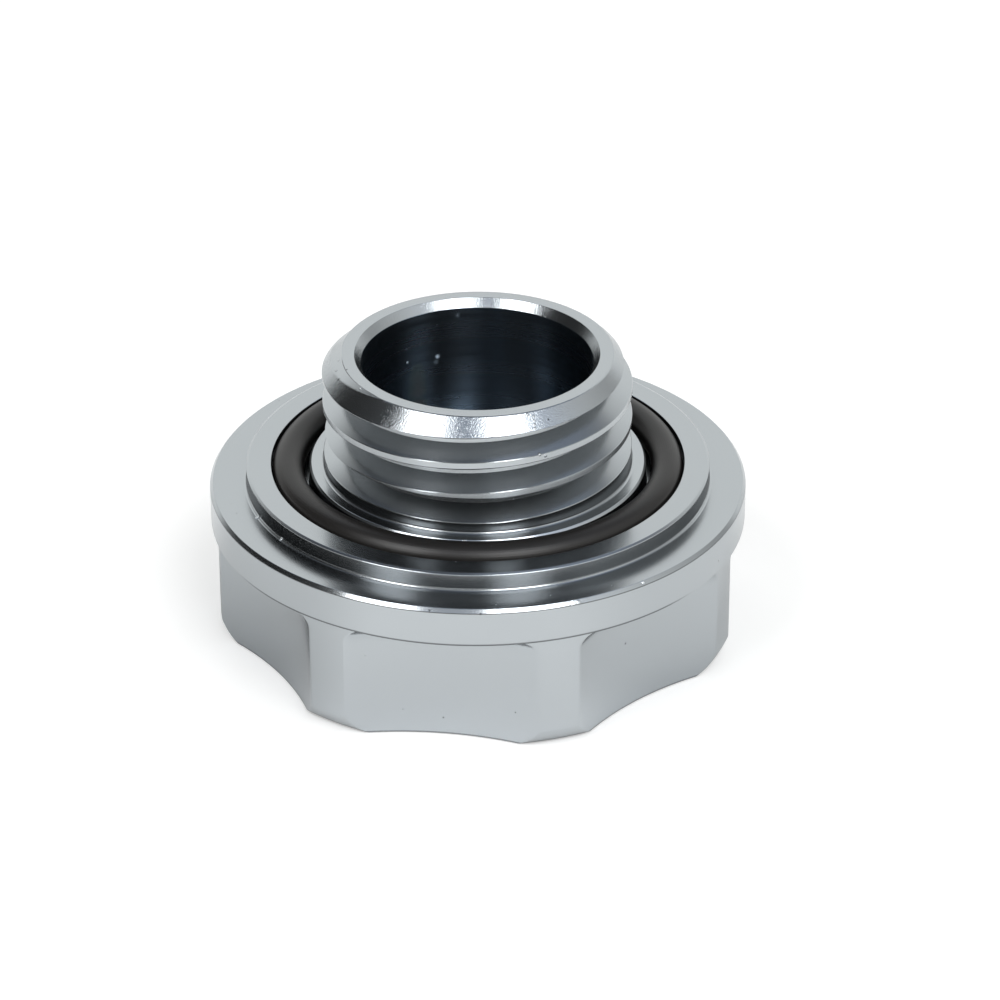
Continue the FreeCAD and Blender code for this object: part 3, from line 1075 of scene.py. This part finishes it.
def makeFloor():
    mesh = bpy.data.meshes.new("floor")
    half, low = studio["floorSize"], studio["floorHeight"]
    corners = [(-half, -half, low), (half, -half, low), (half, half, low), (-half, half, low)]
    mesh.from_pydata(corners, [], [(0, 1, 2, 3)])
    floor = bpy.data.objects.new("floor", mesh)
    scene.collection.objects.link(floor)
    material = bpy.data.materials.new("floor")
    material.use_nodes = True
    tree = material.node_tree
    tree.nodes.clear()
    out = addNode(tree, "ShaderNodeOutputMaterial")
    path = addNode(tree, "ShaderNodeLightPath")
    camera = Num(tree, path.outputs["Is Camera Ray"])
    mirror = Num(tree, path.outputs["Is Glossy Ray"]).atLeast(path.outputs["Is Transmission Ray"])
    other = 1.0 - camera.atLeast(mirror)
    split = addNode(tree, "ShaderNodeSeparateXYZ")
    tree.links.new(objectPosition(tree), split.inputs[0])
    x, y = Num(tree, split.outputs[0]), Num(tree, split.outputs[1])
    reach = (x * x + y * y).root().atLeast(0.001)
    # painted shadow on the floor that the metal sees: darker to the left and right and near the cap,
    # none behind it
    side = x / reach
    left, right = rise(-side, 0.5, 0.9), rise(side, 0.4, 0.9)
    near = rise(reach, *studio["nearReach"])
    shade = left * (studio["farShade"][0] + near * studio["nearShade"][0])
    shade = shade + right * (studio["farShade"][1] + near * studio["nearShade"][1])
    shade = shade * rise(y, *studio["shadeEnd"])
    tone = (1.0 - shade) * studio["mirrorColour"]
    grey = camera * studio["seenColour"] + mirror * tone + other * studio["floorColour"]
    diffuse = addNode(tree, "ShaderNodeBsdfDiffuse")
    feed(tree, diffuse.inputs["Color"], grey)
    glow = addNode(tree, "ShaderNodeEmission")
    feed(tree, glow.inputs["Strength"], camera * studio["seenGlow"] + mirror * studio["mirrorGlow"])
    both = addNode(tree, "ShaderNodeAddShader")
    tree.links.new(diffuse.outputs[0], both.inputs[0])
    tree.links.new(glow.outputs[0], both.inputs[1])
    tree.links.new(both.outputs[0], out.inputs["Surface"])
    mesh.materials.append(material)


def makeWorld():
    world = bpy.data.worlds.new("studio")
    scene.world = world
    world.use_nodes = True
    tree = world.node_tree
    back = tree.nodes["Background"]
    where = addNode(tree, "ShaderNodeTexCoord")
    split = addNode(tree, "ShaderNodeSeparateXYZ")
    tree.links.new(where.outputs["Generated"], split.inputs[0])
    x, y, z = (Num(tree, socket) for socket in split.outputs)
    level = (1.0 - z * z).atLeast(0.0001).root()
    side, rear = x / level, y / level
    # the room, one part over the other: dark at the left, a dim ceiling, pale at the right, a grey
    # front, a white backdrop behind, and a white line all round above the floor
    ceiling = side * studio["ceilingSlope"] + studio["ceiling"]
    wall = pick(rise(z, 0.35, 0.9), ceiling, studio["leftDark"])
    rightTone = z * studio["rightLift"] + (-rear).atLeast(0.0) * studio["rightNear"]
    rightTone = rightTone - rear.atLeast(0.0) * studio["rightFar"] + studio["rightWall"]
    right = rise(side, 0.2, 0.7) * (1.0 - rise(z + rear * 0.2, 0.7, 0.84))
    wall = pick(right, rightTone, wall)
    front = rise(-rear, 0.3, 0.6) * (1.0 - rise(side, 0.6, 0.85)) * (1.0 - rise(z, 0.86, 0.95))
    wall = pick(front, rise(z, 0.52, 0.66) * studio["frontLift"] + studio["front"], wall)
    backdrop = rise(rear, 0.6, 0.85) * (1.0 - rise(z, 0.72, 0.88))
    wall = pick(backdrop, studio["backdrop"], wall)
    low = 1.0 - rise(z, 0.08, 0.2)
    wall = pick(low, studio["horizon"], wall)
    path = addNode(tree, "ShaderNodeLightPath")
    plain = Num(tree, path.outputs["Is Diffuse Ray"])
    strength = pick(plain, wall * studio["fill"], wall)
    tint = rise(z, 0.6, 0.9) * (1.0 - plain)
    colour = mixColour(tree, tint, studio["wallTint"], studio["ceilingTint"])
    tree.links.new(colour, back.inputs["Color"])
    feed(tree, back.inputs["Strength"], strength)


def addBox(name, azimuth, elevation, width, height, lean):
    # a soft box that faces the object and leans to one side
    data = bpy.data.lights.new(name, "AREA")
    data.shape = "ELLIPSE"
    data.size, data.size_y = width, height
    area = math.pi / 4 * width * height
    data.energy = studio["boxGlow"] * math.pi * area  # its radiance is its power over its area and pi
    item = bpy.data.objects.new(name, data)
    scene.collection.objects.link(item)
    around, up = math.radians(azimuth), math.radians(elevation)
    way = Vector((math.cos(around) * math.cos(up), math.sin(around) * math.cos(up), math.sin(up)))
    item.location = way * studio["boxDistance"]
    turned = way.to_track_quat("Z", "Y") @ Quaternion((0, 0, 1), math.radians(lean))
    item.rotation_euler = turned.to_euler()


makeFloor()
makeWorld()
for box in studio["boxes"]:
    addBox(*box)
print("camera and studio set")

scene.view_settings.view_transform = "Standard"
